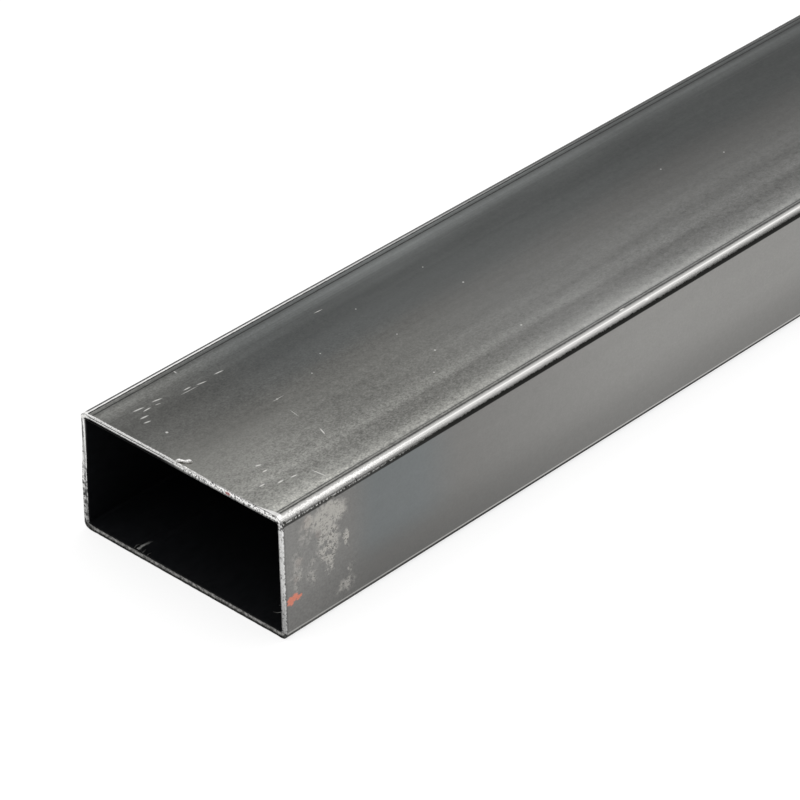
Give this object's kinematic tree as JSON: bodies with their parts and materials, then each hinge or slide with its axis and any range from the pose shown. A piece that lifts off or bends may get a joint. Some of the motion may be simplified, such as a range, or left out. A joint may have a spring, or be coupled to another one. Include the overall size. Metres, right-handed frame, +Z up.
{
  "type": "rectangular steel tube",
  "caption": "Length of welded rectangular hollow section in bare mild steel, sawn square at both ends, with the weld bead left standing inside.",
  "frame": {"origin": "middle of the wide face that the tube lies on, halfway along its length", "axes": "+X runs along the tube from the sawn end seen in the picture to the far end, +Z points up across the narrow side, and +Y runs across the wide side to the left of the picture"},
  "size_m": [1, 0.06, 0.03],
  "materials": {
    "bare_steel": "bare mill finish, slightly oiled, satin"
  },
  "bodies": {
    "root": {"rectangular_tube": "bare_steel"}
  },
  "joints": []
}
